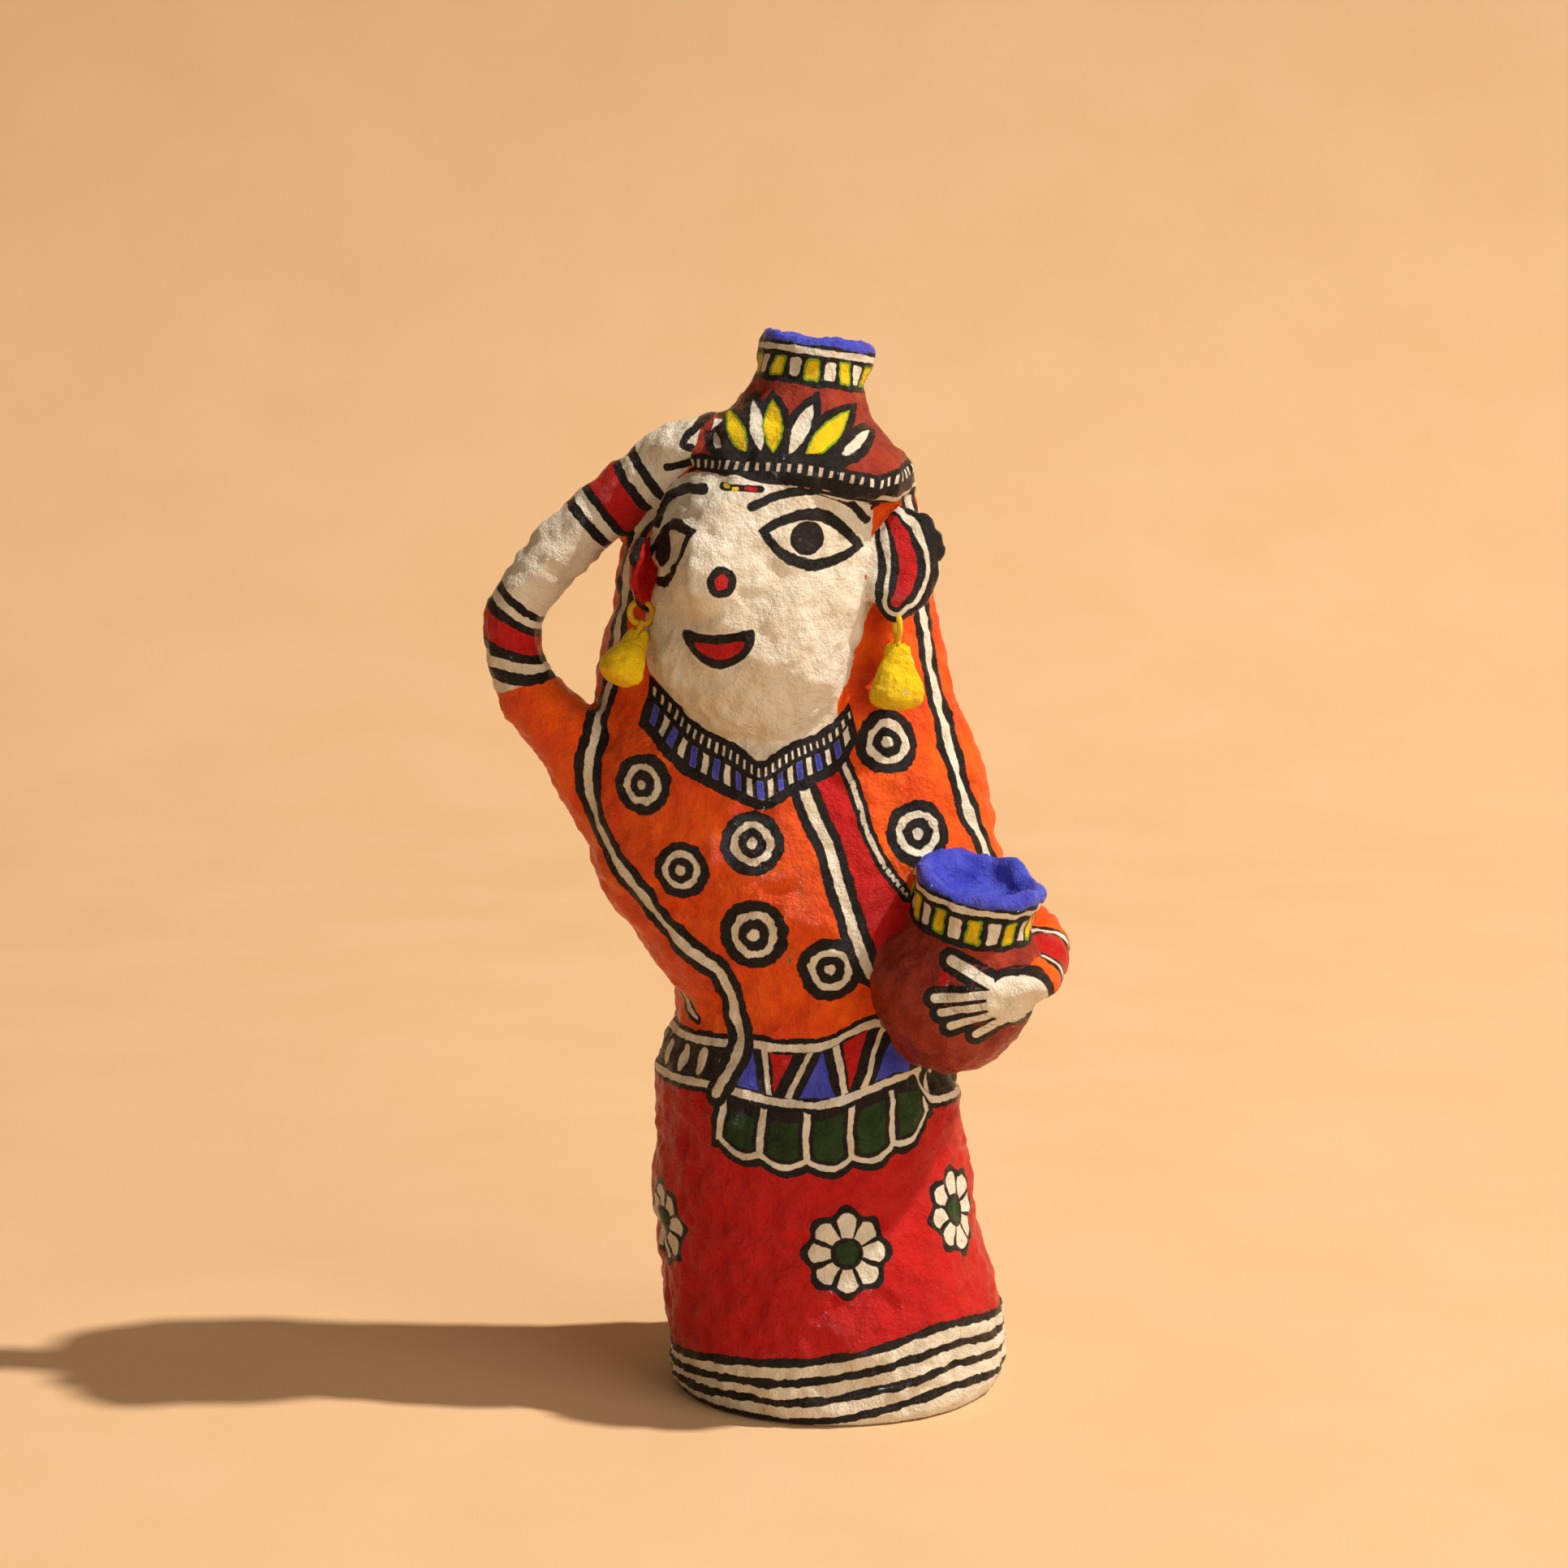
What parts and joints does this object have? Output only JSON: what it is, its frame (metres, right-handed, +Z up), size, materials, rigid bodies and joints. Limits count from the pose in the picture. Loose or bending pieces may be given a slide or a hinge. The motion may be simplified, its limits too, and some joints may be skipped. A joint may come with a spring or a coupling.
{
  "type": "papier-mache figure",
  "caption": "Hand-painted papier-mache water carrier in a long skirt and veil, one arm raised to the pot on her head, the other round a pot at her hip, with hanging earrings.",
  "frame": {"origin": "the middle of the round flat underside", "axes": "+Z up, from the underside to the pot on her head; she faces -Y; +X is towards her own left, the side of the pot at her hip"},
  "size_m": [0.1371, 0.0882, 0.2521],
  "materials": {
    "painted_pulp": "hand-painted in orange, red, cream, maroon, blue, yellow and green with black outlines, semi-gloss varnish",
    "yellow_pulp": "painted yellow, satin",
    "yellow_thread": "twisted yellow thread, matt"
  },
  "bodies": {
    "root": {"figure": "painted_pulp", "earring_drop_left": "yellow_pulp", "earring_drop_right": "yellow_pulp", "earring_thread_left": "yellow_thread", "earring_thread_right": "yellow_thread"}
  },
  "joints": []
}
